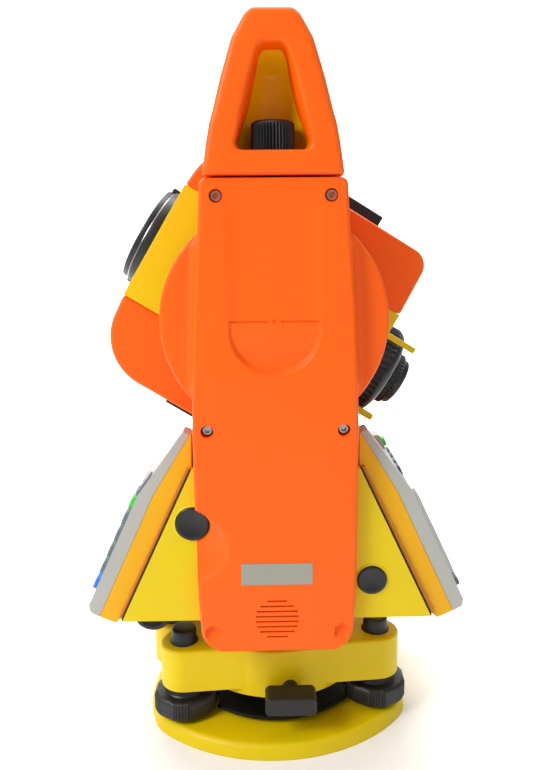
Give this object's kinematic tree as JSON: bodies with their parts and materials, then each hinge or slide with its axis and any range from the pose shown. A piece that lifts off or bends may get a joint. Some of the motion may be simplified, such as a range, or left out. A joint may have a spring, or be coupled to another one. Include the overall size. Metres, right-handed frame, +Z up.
{
  "type": "theodolite",
  "caption": "Electronic surveying theodolite on a three-screw tribrach, with a tilting telescope between two covered standards, a sloping keypad panel front and rear, and a carrying handle.",
  "frame": {"origin": "tripod thread's axis at the underside of the base plate", "axes": "+Z up along the vertical axis; the telescope's trunnion axis is parallel to Y; the side cover with the rating plate faces -Y; the objective points to -X and upwards at rest"},
  "size_m": [0.186, 0.161, 0.35],
  "materials": {
    "yellow_casting": "yellow textured enamel over die-cast aluminium",
    "orange_plastic": "fine-grained orange moulded plastic",
    "yellow_plastic": "yellow moulded plastic",
    "amber_plastic": "amber moulded plastic",
    "grey_plastic": "light grey moulded plastic",
    "black_plastic": "black moulded plastic",
    "black_metal": "black anodised",
    "steel": "machined",
    "brass": "turned",
    "alloy": "machined",
    "glass": "clear",
    "coated_glass": "coated",
    "display": "clear window over a grey display",
    "rubber_grey": "keys",
    "rubber_green": "keys",
    "board": "glass-epoxy board",
    "label": "brushed plate"
  },
  "bodies": {
    "tribrach": {"base_plate": "yellow_casting", "spring_plate": "black_metal", "tribrach_body": "yellow_casting", "footscrew_bushes": "brass", "footscrew_caps": "black_plastic", "circular_level_housing": "black_plastic", "circular_level_glass": "glass", "base_flange": "alloy", "horizontal_circle": "glass"},
    "lock_knob": {"lock_knob": "black_plastic"},
    "lock_ring": {"lock_ring": "steel"},
    "footscrew_left": {"footscrew_left": "black_plastic"},
    "footscrew_right": {"footscrew_right": "black_plastic"},
    "footscrew_rear": {"footscrew_rear": "black_plastic"},
    "alidade": {"alidade_body": "yellow_casting", "vertical_spindle": "steel", "main_board": "board", "plate_level": "glass", "near_side_cover": "orange_plastic", "far_side_cover": "orange_plastic", "cover_screws": "steel", "rating_plate": "label", "handle_shell": "orange_plastic", "handle_core": "yellow_plastic", "trunnion_bearings": "steel", "front_bezel": "amber_plastic", "front_panel": "grey_plastic", "front_window": "display", "rear_bezel": "amber_plastic", "rear_panel": "grey_plastic", "rear_window": "display"},
    "telescope": {"telescope_body": "yellow_casting", "telescope_top_cover": "orange_plastic", "telescope_bottom_cover": "orange_plastic", "objective_ring": "black_plastic", "objective_lens": "coated_glass", "sights": "black_plastic", "trunnion_axles": "steel", "vertical_circle": "glass", "edm_unit": "black_metal"},
    "focus_ring": {"focus_ring": "black_plastic"},
    "focus_lens": {"focus_lens": "brass"},
    "eyepiece": {"eyepiece_ring": "black_plastic", "eyepiece_lens": "coated_glass"},
    "handle_screw_near": {"handle_screw_near": "black_plastic"},
    "handle_screw_far": {"handle_screw_far": "black_plastic"},
    "horizontal_clamp": {"horizontal_clamp_knob": "black_plastic"},
    "horizontal_tangent": {"horizontal_tangent_knob": "black_plastic"},
    "vertical_clamp": {"vertical_clamp_knob": "black_plastic"},
    "vertical_tangent": {"vertical_tangent_knob": "black_plastic"},
    "battery": {"battery": "grey_plastic"},
    "battery_latch": {"battery_latch": "black_plastic"},
    "data_port_cap": {"data_port_cap": "black_plastic"},
    "power_port_cap": {"power_port_cap": "black_plastic"},
    "front_power_key": {"front_power_key": "rubber_green"},
    "front_function_keys": {"front_function_keys": "rubber_grey"},
    "front_number_keys": {"front_number_keys": "rubber_grey"},
    "rear_power_key": {"rear_power_key": "rubber_green"},
    "rear_function_keys": {"rear_function_keys": "rubber_grey"},
    "rear_number_keys": {"rear_number_keys": "rubber_grey"}
  },
  "joints": [
    {"name": "alidade_turn", "type": "hinge", "parent": "tribrach", "child": "alidade", "pos_m": [0, 0, 0.05], "axis": [0, 0, 1], "continuous": true},
    {"name": "lock_knob_turn", "type": "hinge", "parent": "tribrach", "child": "lock_knob", "pos_m": [0.0066, -0.0585, 0.0265], "axis": [0, 1, 0], "range_deg": [0, 180]},
    {"name": "lock_ring_turn", "type": "hinge", "parent": "tribrach", "child": "lock_ring", "pos_m": [0, 0, 0.038], "axis": [0, 0, 1], "range_deg": [0, 30]},
    {"name": "footscrew_left_turn", "type": "hinge", "parent": "tribrach", "child": "footscrew_left", "pos_m": [-0.04933, -0.03416, 0.014], "axis": [0, 0, 1], "range_deg": [-1800, 1800]},
    {"name": "footscrew_right_turn", "type": "hinge", "parent": "tribrach", "child": "footscrew_right", "pos_m": [0.05425, -0.02564, 0.014], "axis": [0, 0, 1], "range_deg": [-1800, 1800]},
    {"name": "footscrew_rear_turn", "type": "hinge", "parent": "tribrach", "child": "footscrew_rear", "pos_m": [-0.00492, 0.0598, 0.014], "axis": [0, 0, 1], "range_deg": [-1800, 1800]},
    {"name": "telescope_tilt", "type": "hinge", "parent": "alidade", "child": "telescope", "pos_m": [0, 0, 0.2205], "axis": [0, 1, 0], "continuous": true},
    {"name": "focus_turn", "type": "hinge", "parent": "telescope", "child": "focus_ring", "pos_m": [0.05372, 0, 0.18758], "axis": [-0.8526, 0, 0.5225], "range_deg": [-270, 270]},
    {"name": "focus_lens_slide", "type": "slide", "parent": "telescope", "child": "focus_lens", "axis": [-0.8526, 0, 0.5225], "range_m": [-0.0105, 0.0105]},
    {"name": "eyepiece_turn", "type": "hinge", "parent": "telescope", "child": "eyepiece", "pos_m": [0.0648, 0, 0.18079], "axis": [-0.8526, 0, 0.5225], "range_deg": [-180, 180]},
    {"name": "handle_screw_near_turn", "type": "hinge", "parent": "alidade", "child": "handle_screw_near", "pos_m": [0, -0.057, 0.29], "axis": [0, 0, 1], "range_deg": [0, 1440]},
    {"name": "handle_screw_far_turn", "type": "hinge", "parent": "alidade", "child": "handle_screw_far", "pos_m": [0, 0.057, 0.29], "axis": [0, 0, 1], "range_deg": [0, 1440]},
    {"name": "horizontal_clamp_turn", "type": "hinge", "parent": "alidade", "child": "horizontal_clamp", "pos_m": [-0.0635, -0.028, 0.0695], "axis": [0, 1, 0], "range_deg": [0, 90]},
    {"name": "horizontal_tangent_turn", "type": "hinge", "parent": "alidade", "child": "horizontal_tangent", "pos_m": [-0.0635, -0.041, 0.0695], "axis": [0, 1, 0], "range_deg": [-1800, 1800]},
    {"name": "vertical_clamp_turn", "type": "hinge", "parent": "alidade", "child": "vertical_clamp", "pos_m": [0, 0.073, 0.135], "axis": [0, 1, 0], "range_deg": [0, 90]},
    {"name": "vertical_tangent_turn", "type": "hinge", "parent": "alidade", "child": "vertical_tangent", "pos_m": [0, 0.085, 0.135], "axis": [0, 1, 0], "range_deg": [-1800, 1800]},
    {"name": "battery_slide", "type": "slide", "parent": "alidade", "child": "battery", "axis": [0, 1, 0], "range_m": [0, 0.04]},
    {"name": "battery_latch_lift", "type": "slide", "parent": "alidade", "child": "battery_latch", "axis": [0, 0, 1], "range_m": [0, 0.0025], "stiffness_N_per_m": 300},
    {"name": "data_port_cap_pull", "type": "slide", "parent": "alidade", "child": "data_port_cap", "axis": [0, -1, 0], "range_m": [0, 0.012]},
    {"name": "power_port_cap_pull", "type": "slide", "parent": "alidade", "child": "power_port_cap", "axis": [0, -1, 0], "range_m": [0, 0.012]},
    {"name": "front_power_key_press", "type": "slide", "parent": "alidade", "child": "front_power_key", "axis": [-0.9055, 0, -0.4244], "range_m": [0, 0.0008], "stiffness_N_per_m": 800},
    {"name": "front_function_keys_press", "type": "slide", "parent": "alidade", "child": "front_function_keys", "axis": [-0.9055, 0, -0.4244], "range_m": [0, 0.0008], "stiffness_N_per_m": 800},
    {"name": "front_number_keys_press", "type": "slide", "parent": "alidade", "child": "front_number_keys", "axis": [-0.9055, 0, -0.4244], "range_m": [0, 0.0008], "stiffness_N_per_m": 800},
    {"name": "rear_power_key_press", "type": "slide", "parent": "alidade", "child": "rear_power_key", "axis": [0.9055, 0, -0.4244], "range_m": [0, 0.0008], "stiffness_N_per_m": 800},
    {"name": "rear_function_keys_press", "type": "slide", "parent": "alidade", "child": "rear_function_keys", "axis": [0.9055, 0, -0.4244], "range_m": [0, 0.0008], "stiffness_N_per_m": 800},
    {"name": "rear_number_keys_press", "type": "slide", "parent": "alidade", "child": "rear_number_keys", "axis": [0.9055, 0, -0.4244], "range_m": [0, 0.0008], "stiffness_N_per_m": 800}
  ],
  "couplings": [
    {"joint": "lock_ring_turn", "follows": "lock_knob_turn", "ratio": 0.16667},
    {"joint": "focus_lens_slide", "follows": "focus_turn", "m_per_rad": 0.0021}
  ]
}
